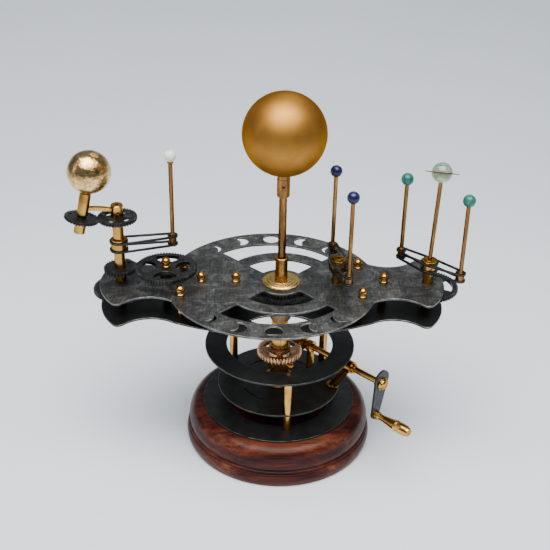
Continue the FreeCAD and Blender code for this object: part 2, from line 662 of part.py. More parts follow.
def column_tube():
    """The turning brass column, with a slightly thinner lower part."""
    bore = POST_RADIUS + RUNNING_CLEARANCE
    low = MID_PLATE_TOP + 0.1
    top = LOWER_PLATE_TOP + 2.0
    return turned([(bore, low), (COLUMN_RADIUS, low), (COLUMN_RADIUS, COLUMN_STEP_Z),
                   (6.6, COLUMN_STEP_Z + 0.6), (6.6, 108.0), (COLUMN_RADIUS, 108.6),
                   (COLUMN_RADIUS, top), (bore, top)])


def worm_wheel():
    """The worm wheel: teeth, a flat rim, four arms and a stepped hub on the column."""
    low = CRANK_Z - WORM_WHEEL_THICKNESS / 2
    phase = WORM_AZIMUTH + 180.0 / WORM_WHEEL_TEETH
    outline = gear_outline(WORM_WHEEL_TEETH, WORM_MODULE, phase, 0, 0, 1.0, 0.0)
    openings = crossings(9.4, 13.6, 4, 26.0, -90.0)
    wheel = plate(outline, [circle(COLUMN_RADIUS)] + openings, low, WORM_WHEEL_THICKNESS)
    top = low + WORM_WHEEL_THICKNESS
    hub = turned([(COLUMN_RADIUS, low - 2.0), (8.9, low - 2.0), (8.9, top + 0.9), (8.3, top + 1.5),
                  (8.3, top + 2.6), (COLUMN_RADIUS, top + 2.6)])
    return wheel.fuse(hub)


def knurled_collar():
    """The fluted collar below the worm wheel, clamped to the column by a screw."""
    corners = [point(COLLAR_RADII[i % 2], 180.0 * i / COLLAR_FLUTES) for i in range(2 * COLLAR_FLUTES)]
    outline = Part.makePolygon(corners + [corners[0]])
    body = plate(outline, [circle(COLUMN_RADIUS)], COLLAR_Z, COLLAR_HEIGHT)
    return body.cut(clamp_hole())


def clamp_axis():
    """The start and the way of the clamp screw."""
    return point(COLUMN_RADIUS, CLAMP_ANGLE, CLAMP_Z), point(1.0, CLAMP_ANGLE)


def clamp_hole():
    """The tapped hole of the clamp screw."""
    start, way = clamp_axis()
    return Part.makeCylinder(1.0, 4.0, start - way, way)


def clamp_screw():
    """The small ball-headed clamp screw of the collar."""
    start, way = clamp_axis()
    shank = Part.makeCylinder(1.0, 2.2, start + way * 0.4, way)
    neck = Part.makeCylinder(1.5, 1.6, start + way * 2.2, way)
    ball = Part.makeSphere(2.3, start + way * 5.2)
    return shank.fuse(neck).fuse(ball)


def lower_flange():
    """The turned flange and boss that carry the lower plate on the column."""
    top = LOWER_PLATE_Z
    return turned([(COLUMN_RADIUS, top - 12.0), (8.4, top - 12.0), (8.4, top - 4.6), (9.6, top - 4.0),
                   (12.4, top - 4.0), (13.0, top - 3.4), (13.0, top), (COLUMN_RADIUS, top)])


def hub_disc():
    """The stepped brass disc on the upper plate, turning about the foot of the mast."""
    bore = MAST_SLEEVE_RADIUS + RUNNING_CLEARANCE
    top = UPPER_PLATE_TOP
    rim = HUB_DISC_RADIUS
    return turned([(bore, UPPER_PLATE_Z), (COLUMN_RADIUS, UPPER_PLATE_Z), (COLUMN_RADIUS, top), (rim, top),
                   (rim, top + 1.0), (rim - 1.0, top + 1.2), (12.9, top + 1.8), (11.0, top + 1.9),
                   (10.7, top + 2.5), (8.8, top + 2.6), (8.5, top + 3.1), (bore, top + 3.1)])


def cage_pillars():
    """The four pillars between the plates, each with a threaded spigot at both ends."""
    low = LOWER_PLATE_Z - LOWER_NUT_HEIGHT - 0.2
    top = UPPER_PLATE_TOP + SPIGOT_HEIGHT
    profile = [(0, low), (SPIGOT_RADIUS, low), (SPIGOT_RADIUS, LOWER_PLATE_TOP),
               (CAGE_PILLAR_RADIUS, LOWER_PLATE_TOP), (CAGE_PILLAR_RADIUS, UPPER_PLATE_Z),
               (SPIGOT_RADIUS, UPPER_PLATE_Z), (SPIGOT_RADIUS, top), (0, top)]
    return group([turned(profile, x, y) for x, y in CAGE_PILLARS])


def idler_studs():
    """The three studs that the idlers turn on, each shouldered just under its wheel."""
    low = LOWER_PLATE_Z - LOWER_NUT_HEIGHT - 0.2
    top = UPPER_PLATE_TOP + SPIGOT_HEIGHT
    studs = []
    for x, level in zip(STUD_XS, (LEVEL_A, LEVEL_A, LEVEL_B)):
        shoulder = level - 0.1
        studs.append(turned([
            (0, low), (SPIGOT_RADIUS, low), (SPIGOT_RADIUS, LOWER_PLATE_TOP), (3.2, LOWER_PLATE_TOP),
            (3.2, shoulder), (STUD_RADIUS, shoulder), (STUD_RADIUS, UPPER_PLATE_Z),
            (SPIGOT_RADIUS, UPPER_PLATE_Z), (SPIGOT_RADIUS, top), (0, top)], x, 0))
    return group(studs)


def fastener_places():
    """Where the seven pillar and stud ends come through the plates."""
    return list(CAGE_PILLARS) + [(x, 0.0) for x in STUD_XS]


def ball_nut(x, y, low):
    """A ball-headed nut on a collar foot almost as wide, bored for a spigot."""
    foot = turned([(0, low), (3.4, low), (3.4, low + 1.5), (2.7, low + 2.0), (2.7, low + 3.0),
                   (0, low + 3.0)], x, y)
    head = Part.makeSphere(3.6, Vector(x, y, low + 4.5))
    return foot.fuse(head).cut(rod(SPIGOT_RADIUS, low - 1.0, low + SPIGOT_HEIGHT, x, y))


def ball_nuts():
    """The seven ball-headed nuts on the upper plate."""
    return group([ball_nut(x, y, UPPER_PLATE_TOP) for x, y in fastener_places()])


def lower_nuts():
    """The seven round nuts under the lower plate."""
    return group([tube(3.0, SPIGOT_RADIUS, LOWER_PLATE_Z - LOWER_NUT_HEIGHT, LOWER_PLATE_Z, x, y)
                  for x, y in fastener_places()])


# ==== the trains ==============================================================================
def idler_gear(teeth, phase, level, x, openings):
    """An idler with a long hub that fills the room up to the upper plate."""
    bore = STUD_RADIUS + RUNNING_CLEARANCE
    wheel = gear(teeth, phase, level, x, bore, openings)
    return wheel.fuse(tube(3.8, bore, level + GEAR_THICKNESS, UPPER_PLATE_Z - 0.1, x, 0))


def arbor_pivot(z_from):
    """The profile of an arbor's bottom pivot in the lower plate, up to the arbor's shoulder."""
    return [(0, LOWER_PLATE_Z + 0.1), (PIVOT_RADIUS, LOWER_PLATE_Z + 0.1), (PIVOT_RADIUS, z_from)]


def third_arbor():
    """The arbor whose pinion ends the left train below and drives the big wheel above."""
    r = THIRD_ARBOR_RADIUS
    shoulder = LOWER_PLATE_TOP + 0.1
    collar_low = UPPER_PLATE_TOP + 0.1
    wheel_top = LEVEL_TOP + GEAR_THICKNESS
    top = wheel_top + SPIGOT_HEIGHT
    shaft = turned(arbor_pivot(shoulder) + [
        (r, shoulder), (r, collar_low), (4.9, collar_low), (4.9, LEVEL_TOP), (r, LEVEL_TOP),
        (r, wheel_top), (SPIGOT_RADIUS, wheel_top), (SPIGOT_RADIUS, top), (0, top)], THIRD_ARBOR_X)
    pinion = gear(PINION_TEETH, PINION_PHASE, LEVEL_A, THIRD_ARBOR_X, r - 0.5)
    return shaft.fuse(pinion)


def drive_wheel():
    """The big wheel above the plate, with four scalloped crossings and small holes between them."""
    openings = scalloped_openings(18.9, 16.6, 9.2, 4, 0.0, THIRD_ARBOR_X)
    openings += round_openings(0.9, 16.8, 4, 45.0, THIRD_ARBOR_X)
    return gear(DRIVE_TEETH, DRIVE_PHASE, LEVEL_TOP, THIRD_ARBOR_X, THIRD_ARBOR_RADIUS, openings)


def drive_wheel_nut():
    """The ball-headed nut that holds the big wheel down."""
    return ball_nut(THIRD_ARBOR_X, 0, LEVEL_TOP + GEAR_THICKNESS)


def planet_arbor(x, top, tip):
    """An arbor through both plates; tip is the profile of its top end."""
    shoulder = LOWER_PLATE_TOP + 0.1
    return turned(arbor_pivot(shoulder) + [(ARBOR_RADIUS, shoulder), (ARBOR_RADIUS, top)] + tip, x)


def hubbed_gear(teeth, phase, level, x, bore, hub, openings):
    """A wheel with a low hub fast on its arbor."""
    wheel = gear(teeth, phase, level, x, bore, openings)
    return wheel.fuse(tube(hub, bore, level - 1.6, level, x, 0))


def link_outline(hub, hub_radius, end, end_radius):
    """The outline of a link: two round ends joined by their common outer tangents."""
    way = end - hub
    heading = math.degrees(math.atan2(way.y, way.x))
    lean = math.degrees(math.acos((hub_radius - end_radius) / way.Length))
    centres = ((hub.x, hub.y), (end.x, end.y))
    hub_low = point(hub_radius, heading - lean, 0, centres[0])
    hub_high = point(hub_radius, heading + lean, 0, centres[0])
    end_low = point(end_radius, heading - lean, 0, centres[1])
    end_high = point(end_radius, heading + lean, 0, centres[1])
    return Part.Wire([
        line(hub_low, end_low),
        arc(end_low, point(end_radius, heading, 0, centres[1]), end_high),
        line(end_high, hub_high),
        arc(hub_high, point(hub_radius, heading + 180.0, 0, centres[0]), hub_low),
    ])


def link_blank(hub, end, top):
    """One arm of a link plate before its hub is bored: two bars that join a ring at each end."""
    outline = link_outline(hub, LINK_HUB_RADIUS, end, LINK_END_RADIUS)
    inside = link_outline(hub, LINK_HUB_RADIUS - LINK_BAR, end, LINK_END_RADIUS - LINK_BAR)
    low = top - LINK_THICKNESS
    bars = plate(outline, [inside], low, LINK_THICKNESS)
    hub_ring = rod(LINK_HUB_RADIUS, low, top, hub.x, hub.y)
    return bars.fuse(hub_ring).fuse(rod(LINK_END_RADIUS, low, top, end.x, end.y))


def links(x, arms, tops, hub_bore):
    """The link plates of one arbor, one above the other, bored for the arbor and the rods."""
    plates = []
    hub = Vector(x, 0, 0)
    for top in tops:
        ends = [point(length, angle, 0, (x, 0)) for length, angle in arms]
        shape = link_blank(hub, ends[0], top)
        for end in ends[1:]:
            shape = shape.fuse(link_blank(hub, end, top))
        for end in ends:
            shape = shape.cut(rod(ROD_RADIUS, top - 5.0, top + 1.0, end.x, end.y))
        plates.append(shape.cut(rod(hub_bore, top - 5.0, top + 1.0, x, 0)))
    return group(plates)


def link_spacers(x, tops):
    """The spacer between an arbor's two links and the thin washer that holds them down."""
    low_top, high_top = tops
    bore = ARBOR_RADIUS
    return [tube(SPACER_RADIUS, bore, low_top, high_top - LINK_THICKNESS, x, 0),
            tube(SPACER_RADIUS, bore, high_top, high_top + 1.4, x, 0)]


def link_rod(place, tops, rod_top):
    """A rod with its shoulder bush between the links, a foot below and a bead above them."""
    low_top, high_top = tops
    low, high = low_top - LINK_THICKNESS, high_top - LINK_THICKNESS
    r = ROD_RADIUS
    return turned([
        (0, low - 1.0), (2.4, low - 1.0), (2.4, low), (r, low), (r, low_top), (BUSH_RADIUS, low_top),
        (BUSH_RADIUS, high), (r, high), (r, high_top), (2.9, high_top), (2.9, high_top + 0.9),
        (r, high_top + 1.4), (r, rod_top), (ROD_TIP_RADIUS, rod_top),
        (ROD_TIP_RADIUS, rod_top + ROD_TIP_LENGTH), (0, rod_top + ROD_TIP_LENGTH)], place.x, place.y)


def ball_rod_top(height, radius):
    """Where a rod's shoulder meets the ball above it."""
    return height - math.sqrt(radius ** 2 - ROD_RADIUS ** 2)


def ball(place, height, radius):
    """A ball with a blind hole for its rod's tip."""
    rod_top = ball_rod_top(height, radius)
    body = Part.makeSphere(radius, Vector(place.x, place.y, height))
    body = body.cut(rod(ROD_RADIUS, rod_top - 3.0, rod_top, place.x, place.y))
    return body.cut(rod(ROD_TIP_RADIUS, rod_top - 1.0, rod_top + ROD_TIP_LENGTH, place.x, place.y))


def arm_places(x, arms):
    """The places of an arbor's rods."""
    return [point(length, angle, 0, (x, 0)) for length, angle in arms]


def planet_rods(x, arms, heights, radius):
    """The rods of one arbor's balls."""
    return [link_rod(place, PLANET_LINK_TOPS, ball_rod_top(height, radius))
            for place, height in zip(arm_places(x, arms), heights)]


def planet_balls(x, arms, heights, radius):
    """The balls of one arbor."""
    return group([ball(place, height, radius) for place, height in zip(arm_places(x, arms), heights)])


def blue_arbor():
    """The inner right arbor, drilled at its top."""
    top = BLUE_ARBOR_TOP
    body = planet_arbor(BLUE_X, top, [(1.5, top), (1.5, top - 5.0), (0, top - 5.0)])
    return group([body] + link_spacers(BLUE_X, PLANET_LINK_TOPS))


def lean_glass_rod(shape):
    """Lean the ringed ball's rod a little outwards, as it stands in its socket."""
    leaning = shape.copy()
    leaning.rotate(Vector(GREEN_X, 0, GREEN_ARBOR_TOP), Vector(0, 1, 0), GLASS_ROD_LEAN)
    return leaning


def glass_rod():
    """The middle rod, which carries the ringed ball."""
    rod_top = ball_rod_top(GLASS_BALL_Z, GLASS_BALL_RADIUS)
    low, top = GREEN_ARBOR_TOP - SOCKET_DEPTH, rod_top + ROD_TIP_LENGTH
    return lean_glass_rod(turned([(0, low), (ROD_RADIUS, low), (ROD_RADIUS, rod_top), (ROD_TIP_RADIUS, rod_top),
                                  (ROD_TIP_RADIUS, top), (0, top)], GREEN_X))


def green_arbor():
    """The outer right arbor, bored at its top for the leaning middle rod."""
    top = GREEN_ARBOR_TOP
    socket = lean_glass_rod(rod(ROD_RADIUS, top - SOCKET_DEPTH, top + 2.0, GREEN_X))
    body = planet_arbor(GREEN_X, top, [(0, top)]).cut(socket)
    return group([body] + link_spacers(GREEN_X, PLANET_LINK_TOPS))


def green_rods():
    """The two outer rods and the middle rod of the ringed ball."""
    return group(planet_rods(GREEN_X, GREEN_ARMS, GREEN_BALL_HEIGHTS, GREEN_BALL_RADIUS) + [glass_rod()])


def ball_ring():
    """The thin flat ring round the glass ball, tipped up towards -Y."""
    half = BALL_RING_THICKNESS / 2
    body = tube(BALL_RING_RADIUS, GLASS_BALL_RADIUS, -half, half)
    tip, lean = BALL_RING_TILT
    turn = Rotation(Vector(0, 1, 0), lean).multiply(Rotation(Vector(1, 0, 0), -tip))
    body.Placement = Placement(Vector(GREEN_X, 0, GLASS_BALL_Z), turn)
    return lean_glass_rod(body)


# ==== the tellurion ===========================================================================
def moon_tube():
    """The tube that turns round the earth shaft and carries the moon and the tilt drive gear."""
    low = UPPER_PLATE_TOP + 0.1
    body = tube(ARBOR_RADIUS, SHAFT_RADIUS + RUNNING_CLEARANCE, low, TILT_DRIVE_TOP, EARTH_X, 0)
    return group([body] + link_spacers(EARTH_X, MOON_LINK_TOPS))


def turn_tellurion(shape):
    """Turn a piece about the earth shaft to where the tellurion's upper arm stands at rest."""
    turned_shape = shape.copy()
    turned_shape.rotate(Vector(EARTH_X, 0, 0), Vector(0, 0, 1), TELLURION_TURN)
    return turned_shape


def tilt_drive_gear():
    """The wheel at the top of the moon tube that drives the globe's tilted gear."""
    openings = scalloped_openings(11.4, 9.6, 4.2, 4, 45.0, EARTH_X)
    return turn_tellurion(gear(TILT_DRIVE_TEETH, TILT_DRIVE_PHASE, TILT_DRIVE_TOP - GEAR_THICKNESS, EARTH_X,
                               ARBOR_RADIUS, openings, GEAR_THICKNESS, 0.9))


def moon_rod():
    """The moon's rod, with a small cup at its top."""
    place = point(MOON_ARM[0], MOON_ARM[1], 0, (EARTH_X, 0))
    r = MOON_CUP_RADIUS
    cup_low = MOON_BALL_Z - 6.0
    cup_top = MOON_BALL_Z - math.sqrt(MOON_BALL_RADIUS ** 2 - r ** 2)
    shaft = link_rod(place, MOON_LINK_TOPS, cup_low)
    cup = turned([(0, cup_low), (ROD_RADIUS, cup_low), (r, cup_low + 0.8), (r, cup_top), (0, cup_top)],
                 place.x, place.y)
    seat = Part.makeSphere(MOON_BALL_RADIUS, Vector(place.x, place.y, MOON_BALL_Z))
    return shaft.fuse(cup).cut(seat)


def moon_ball():
    """The white moon, seated in its cup."""
    place = point(MOON_ARM[0], MOON_ARM[1], 0, (EARTH_X, 0))
    return Part.makeSphere(MOON_BALL_RADIUS, Vector(place.x, place.y, MOON_BALL_Z))


def earth_shaft():
    """The long shaft through the moon tube that keeps the globe's axis pointing one way."""
    shoulder = LOWER_PLATE_TOP + 0.1
    return turned(arbor_pivot(shoulder) + [(SHAFT_RADIUS, shoulder), (SHAFT_RADIUS, EARTH_SHAFT_TOP),
                                           (0, EARTH_SHAFT_TOP)], EARTH_X)


def earth_arm():
    """The top collar and the arched bar out to the tilted tube, in one piece."""
    collar_low = TILT_DRIVE_TOP + 0.1
    collar_top = EARTH_SHAFT_TOP + 2.0
    collar = turned([(0, collar_low), (4.7, collar_low), (4.7, collar_top - 0.8), (4.1, collar_top),
                     (0, collar_top)], EARTH_X)
    low, top, rise, climb = EARTH_ARM_BOTTOM, EARTH_ARM_TOP, EARTH_ARM_RISE, EARTH_ARM_CLIMB
    half_width = EARTH_ARM_WIDTH / 2
    start = EARTH_X - 3.0
    end = TILT_X + 9.0 * math.sin(math.radians(AXIS_TILT))
    middle = (start + end) / 2

    def corner(x, z):
        return Vector(x, -half_width, z)

    face = Part.Face(Part.Wire([
        arc(corner(start, low), corner(middle, low + climb / 2 + rise), corner(end, low + climb)),
        line(corner(end, low + climb), corner(end, top + climb)),
        arc(corner(end, top + climb), corner(middle, top + climb / 2 + rise), corner(start, top)),
        line(corner(start, top), corner(start, low)),
    ]))
    bar = face.extrude(Vector(0, EARTH_ARM_WIDTH, 0))
    bar = bar.cut(straight_tilt(rod(TILT_TUBE_RADIUS, TILT_TUBE_START - 10.0, TILT_TUBE_END + 10.0)))
    body = collar.fuse(bar).cut(rod(SHAFT_RADIUS, collar_low - 1.0, EARTH_SHAFT_TOP, EARTH_X))
    body = body.cut(rod(1.3, EARTH_SHAFT_TOP - 0.4, collar_top + 1.0, EARTH_X))
    screw_start = Vector(EARTH_X, -SHAFT_RADIUS - 0.2, (low + top) / 2 - 1.0)
    return turn_tellurion(body.cut(Part.makeCylinder(1.1, 6.0, screw_start, Vector(0, -1, 0))))


def tilt_tube():
    """The tilted brass tube that the globe's spindle turns in."""
    bore = SPINDLE_RADIUS + RUNNING_CLEARANCE
    return on_tilt(tube(TILT_TUBE_RADIUS, bore, TILT_TUBE_START, TILT_TUBE_END))


def globe_spindle():
    """The globe's spindle: a long rod, the boss of its gear and the thick stub below."""
    gear_low = -TILT_GEAR_THICKNESS / 2
    return on_tilt(turned([
        (0, SPINDLE_STUB_END), (TILT_TUBE_RADIUS, SPINDLE_STUB_END), (TILT_TUBE_RADIUS, gear_low),
        (SPINDLE_RADIUS, gear_low), (SPINDLE_RADIUS, SPINDLE_TOP), (0, SPINDLE_TOP)]))


def tilted_gear():
    """The globe's gear, on the tilted axis."""
    half = TILT_GEAR_THICKNESS / 2
    outline = gear_outline(TILTED_TEETH, MODULE, TILTED_PHASE, 0, 0, 0.9, BACKLASH + 0.1)
    holes = [circle(SPINDLE_RADIUS)] + round_openings(1.2, 9.2, 3, 30.0)
    body = plate(outline, holes, -half, TILT_GEAR_THICKNESS)
    boss = tube(3.6, SPINDLE_RADIUS, half, TILT_TUBE_START - 0.1)
    return on_tilt(body.fuse(boss))


def globe_ball():
    """The gilded globe, bored for its spindle."""
    bore = rod(SPINDLE_RADIUS, GLOBE_DISTANCE - GLOBE_RADIUS - 3.0, SPINDLE_TOP)
    return on_tilt(Part.makeSphere(GLOBE_RADIUS, Vector(0, 0, GLOBE_DISTANCE)).cut(bore))


# ==== the crank ===============================================================================
def worm_shaft():
    """The crank shaft with its worm, cut in one piece."""
    length = WORM_TURNS * WORM_LEAD
    half = length / 2
    core = turned([
        (0, CRANK_SHAFT_START), (CRANK_SHAFT_RADIUS, CRANK_SHAFT_START), (CRANK_SHAFT_RADIUS, -half - 1.6),
        (WORM_ROOT_RADIUS, -half - 1.2), (WORM_ROOT_RADIUS, half + 1.2), (CRANK_SHAFT_RADIUS, half + 1.6),
        (CRANK_SHAFT_RADIUS, CRANK_SHAFT_END), (0, CRANK_SHAFT_END)])
    helix = Part.makeHelix(WORM_LEAD, length, WORM_PITCH_RADIUS)
    root = WORM_ROOT_RADIUS - 0.3
    corners = [Vector(root, 0, -0.72), Vector(WORM_TIP_RADIUS, 0, -0.2), Vector(WORM_TIP_RADIUS, 0, 0.2),
               Vector(root, 0, 0.72)]
    profile = Part.makePolygon(corners + [corners[0]])
    thread = Part.Wire(helix).makePipeShell([profile], True, True)
    thread.translate(Vector(0, 0, -half))
    # The thread faces the column, along the frame's Y, where it lies at the middle of the worm.
    thread.rotate(Vector(0, 0, 0), Vector(0, 0, 1), 90.0 - 360.0 * half / WORM_LEAD)
    return on_crank(core.fuse(thread))


def crank_fittings():
    """The thrust collar by the outer bearing, the two bosses of the arm and the handle's pin."""
    collar_low = OUTER_BEARING + OUTER_BEARING_LENGTH / 2 + 0.1
    collar = tube(3.6, CRANK_SHAFT_RADIUS, collar_low, collar_low + 2.4)
    low, high, pin = CRANK_ARM_START, CRANK_ARM_END, CRANK_PIN_RADIUS
    back = tube(4.0, CRANK_SHAFT_RADIUS, low - 3.0, low)
    boss = turned([(CRANK_SHAFT_RADIUS, high), (5.2, high), (5.2, high + 1.0), (4.4, high + 1.6),
                   (4.2, high + 2.8), (2.4, high + 3.8), (0, high + 4.0), (0, CRANK_SHAFT_END),
                   (CRANK_SHAFT_RADIUS, CRANK_SHAFT_END)])
    pin = turned([(0, low - 1.0), (3.0, low - 1.0), (3.0, low), (pin, low), (pin, high), (3.4, high),
                  (3.4, high + 1.8), (pin, high + 1.8), (pin, high + CRANK_PIN_LENGTH),
                  (0, high + CRANK_PIN_LENGTH)], -CRANK_THROW)
    return group([on_crank(collar), on_crank(back), on_crank(boss), on_crank_arm(pin)])


def crank_arm():
    """The tapered steel arm, leaning a little at rest; its broad end stands up past the shaft."""
    outline = link_outline(Vector(CRANK_ARM_TOP, 0, 0), 7.8, Vector(-CRANK_THROW, 0, 0), 4.3)
    holes = [circle(CRANK_SHAFT_RADIUS), circle(CRANK_PIN_RADIUS, -CRANK_THROW, 0)]
    return on_crank_arm(plate(outline, holes, CRANK_ARM_START, CRANK_ARM_THICKNESS))


def crank_handle():
    """The turned grip: a collar, a slim waist that swells outwards, a ridge and a rounded end."""
    low = CRANK_ARM_END + 1.9
    bore = CRANK_PIN_RADIUS + RUNNING_CLEARANCE
    return on_crank_arm(turned([
        (bore, low), (3.3, low), (3.3, low + 1.6), (2.4, low + 2.2), (2.5, low + 6.0), (3.3, low + 12.0),
        (4.2, low + 17.6), (4.6, low + 18.0), (4.6, low + 19.2), (4.2, low + 19.6), (4.5, low + 24.0),
        (4.3, low + 27.6), (3.7, low + 28.4), (3.7, low + 29.2), (3.2, low + 30.6), (2.2, low + 31.0),
        (0, low + 31.0), (0, low + 28.4), (bore, low + 28.4)], -CRANK_THROW))


# ==== write every node ========================================================================
def build():
    """Make and save every node."""
    os.makedirs("parts", exist_ok=True)
    save("wooden_base", wooden_base())
    save("base_plate", base_plate())
    save("stand_pillars", stand_pillars())
    save("mid_plate", mid_plate())
    save("ring_plate", ring_plate())
    save("centre_post", centre_post())
    save("column_bearing", column_bearing())
    save("crank_bearings", crank_bearings())
    save("fixed_gears", fixed_gears())
    save("mast_sleeve", mast_sleeve())
    save("mast_rod", mast_rod())
    save("mast_collar", mast_collar())
    save("sun_ball", sun_ball())

    save("column_tube", column_tube())
    save("worm_wheel", worm_wheel())
    save("knurled_collar", knurled_collar())
    save("clamp_screw", clamp_screw())
    save("lower_flange", lower_flange())
    save("lower_plate", lower_plate())
    save("upper_plate", upper_plate())
    save("hub_disc", hub_disc())
    save("cage_pillars", cage_pillars())
    save("idler_studs", idler_studs())
    save("ball_nuts", ball_nuts())
    save("lower_nuts", lower_nuts())

    save("first_idler", idler_gear(FIRST_IDLER_TEETH, FIRST_IDLER_PHASE, LEVEL_A, FIRST_IDLER_X, ()))
    save("second_idler", idler_gear(SECOND_IDLER_TEETH, SECOND_IDLER_PHASE, LEVEL_A, SECOND_IDLER_X,
                                    round_openings(2.6, 7.7, 5, 0.0, SECOND_IDLER_X)))
    save("right_idler", idler_gear(RIGHT_IDLER_TEETH, RIGHT_IDLER_PHASE, LEVEL_B, RIGHT_IDLER_X, ()))
    save("third_arbor", third_arbor())
    save("drive_wheel", drive_wheel())
    save("drive_wheel_nut", drive_wheel_nut())

    save("moon_tube", moon_tube())
    save("moon_gear", gear(MOON_TEETH, MOON_PHASE, LEVEL_TOP, EARTH_X, ARBOR_RADIUS,
                           round_openings(0.9, 8.4, 4, 45.0, EARTH_X)))
    save("moon_links", links(EARTH_X, (MOON_ARM,), MOON_LINK_TOPS, ARBOR_RADIUS))
    save("moon_rod", moon_rod())
    save("moon_ball", moon_ball())
    save("tilt_drive_gear", tilt_drive_gear())

    save("earth_shaft", earth_shaft())
    save("parallel_gear", hubbed_gear(PARALLEL_TEETH, PARALLEL_PHASE, LEVEL_A, EARTH_X, SHAFT_RADIUS, 6.0,
                                      crossings(7.5, 15.4, 5, 18.0, 0.0, EARTH_X)))
    save("earth_arm", earth_arm())
    save("tilt_tube", tilt_tube())
    save("globe_spindle", globe_spindle())
    save("tilted_gear", tilted_gear())
    save("globe_ball", globe_ball())

    save("blue_arbor", blue_arbor())
    save("blue_gear", hubbed_gear(BLUE_TEETH, BLUE_PHASE, LEVEL_B, BLUE_X, ARBOR_RADIUS, 7.0,
                                  crossings(9.0, 21.4, 5, 18.0, 0.0, BLUE_X)))
    save("blue_links", links(BLUE_X, BLUE_ARMS, PLANET_LINK_TOPS, ARBOR_RADIUS))
    save("blue_rods", group(planet_rods(BLUE_X, BLUE_ARMS, BLUE_BALL_HEIGHTS, BLUE_BALL_RADIUS)))
    save("blue_balls", planet_balls(BLUE_X, BLUE_ARMS, BLUE_BALL_HEIGHTS, BLUE_BALL_RADIUS))

    save("green_arbor", green_arbor())
    save("green_gear", hubbed_gear(GREEN_TEETH, GREEN_PHASE, LEVEL_B, GREEN_X, ARBOR_RADIUS, 7.0,
                                   crossings(9.0, 19.6, 4, 26.0, 45.0, GREEN_X)))
    save("green_links", links(GREEN_X, GREEN_ARMS, PLANET_LINK_TOPS, ARBOR_RADIUS))
    save("green_rods", green_rods())
    save("green_balls", planet_balls(GREEN_X, GREEN_ARMS, GREEN_BALL_HEIGHTS, GREEN_BALL_RADIUS))
    save("glass_ball", lean_glass_rod(ball(Vector(GREEN_X, 0, 0), GLASS_BALL_Z, GLASS_BALL_RADIUS)))
    save("ball_ring", ball_ring())

    save("worm_shaft", worm_shaft())
    save("crank_fittings", crank_fittings())
    save("crank_arm", crank_arm())
    save("crank_handle", crank_handle())


build()
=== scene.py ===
import math

import bmesh
import bpy
from mathutils import Euler, Matrix, Vector, noise


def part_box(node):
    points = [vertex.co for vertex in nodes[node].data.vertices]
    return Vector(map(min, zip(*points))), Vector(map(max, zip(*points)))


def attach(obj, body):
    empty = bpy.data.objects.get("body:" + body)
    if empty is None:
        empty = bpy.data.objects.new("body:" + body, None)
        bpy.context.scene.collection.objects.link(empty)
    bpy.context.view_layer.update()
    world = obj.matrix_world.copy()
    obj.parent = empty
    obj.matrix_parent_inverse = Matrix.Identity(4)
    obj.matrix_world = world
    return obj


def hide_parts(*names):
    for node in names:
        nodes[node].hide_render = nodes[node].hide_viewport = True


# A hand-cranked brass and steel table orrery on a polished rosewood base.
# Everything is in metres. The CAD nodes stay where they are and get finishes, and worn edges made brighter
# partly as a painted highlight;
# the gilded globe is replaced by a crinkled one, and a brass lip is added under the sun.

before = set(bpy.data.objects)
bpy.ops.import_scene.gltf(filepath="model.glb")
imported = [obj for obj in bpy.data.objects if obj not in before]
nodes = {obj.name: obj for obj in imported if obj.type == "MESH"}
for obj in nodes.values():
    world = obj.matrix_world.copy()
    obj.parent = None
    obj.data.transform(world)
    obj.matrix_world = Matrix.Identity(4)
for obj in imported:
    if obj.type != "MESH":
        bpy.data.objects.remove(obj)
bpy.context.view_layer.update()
MM = 0.001

PITCH, ROLL, YAW = 29.36, 1.21, 1.58
CAMERA_PLACE = (-0.0244, -0.70665, 0.54639)
LENS = 68.22

# Edges sharper than this many degrees stay sharp, and get a bevel of the finish's width in millimetres.
SHARP_ANGLE = 28.0
EDGE_WIDTHS = {"gunmetal": 0.20, "black_steel": 0.17, "gear_steel": 0.08, "brass": 0.10,
               "pink_brass": 0.10, "blued_steel": 0.12, "rosewood": 0.25}
SMOOTH_NODES = ("sun_ball", "moon_ball", "blue_balls", "green_balls", "glass_ball", "globe_ball")

LIP_SIDES = 72
LIP_INSET, LIP_FIT = 0.96, 1.01

# ==== camera, floor and lights ================================================================
def camera():
    """The view from in front of the orrery and above it."""
    pitch, roll, yaw = (math.radians(angle) for angle in (PITCH, ROLL, YAW))
    ahead = Vector((math.sin(yaw) * math.cos(pitch), math.cos(yaw) * math.cos(pitch), -math.sin(pitch)))
    side = ahead.cross(Vector((0, 0, 1))).normalized()
    up = side.cross(ahead)
    right = side * math.cos(roll) + up * math.sin(roll)
    top = up * math.cos(roll) - side * math.sin(roll)
    data = bpy.data.cameras.new("camera")
    data.sensor_width = 36.0
    data.lens = LENS
    data.clip_end = 30.0
    obj = bpy.data.objects.new("camera", data)
    turn = Matrix((right, top, -ahead)).transposed().to_4x4()
    obj.matrix_world = Matrix.Translation(Vector(CAMERA_PLACE)) @ turn
    bpy.context.scene.collection.objects.link(obj)
    bpy.context.scene.camera = obj


def mesh_object(name, mesh, materials):
    """Link a mesh as a new object with these materials."""
    obj = bpy.data.objects.new(name, mesh)
    for material in materials:
        mesh.materials.append(material)
    bpy.context.scene.collection.objects.link(obj)
    return obj


